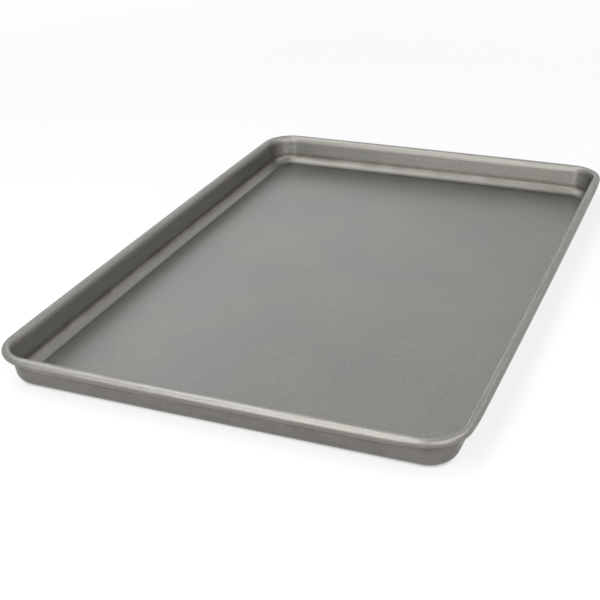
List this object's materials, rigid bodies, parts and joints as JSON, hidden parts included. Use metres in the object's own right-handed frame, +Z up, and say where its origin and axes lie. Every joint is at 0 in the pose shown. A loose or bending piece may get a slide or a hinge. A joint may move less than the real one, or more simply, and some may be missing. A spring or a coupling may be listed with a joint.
{
  "type": "jelly roll pan",
  "caption": "Shallow oblong baking pan pressed from grey non-stick sheet steel, with rounded corners, leaning walls and a rim rolled round a steel wire.",
  "frame": {"origin": "centre of the floor's underside, on the surface that the pan stands on", "axes": "+X across the pan, along its short sides; +Y along its long sides; +Z up, out of the open top"},
  "size_m": [0.2662, 0.3932, 0.0206],
  "materials": {
    "nonstick_coat": "satin metallic grey non-stick coat on sheet steel",
    "wire_steel": "drawn steel wire"
  },
  "bodies": {
    "root": {"pan_body": "nonstick_coat", "rim_wire": "wire_steel"}
  },
  "joints": []
}
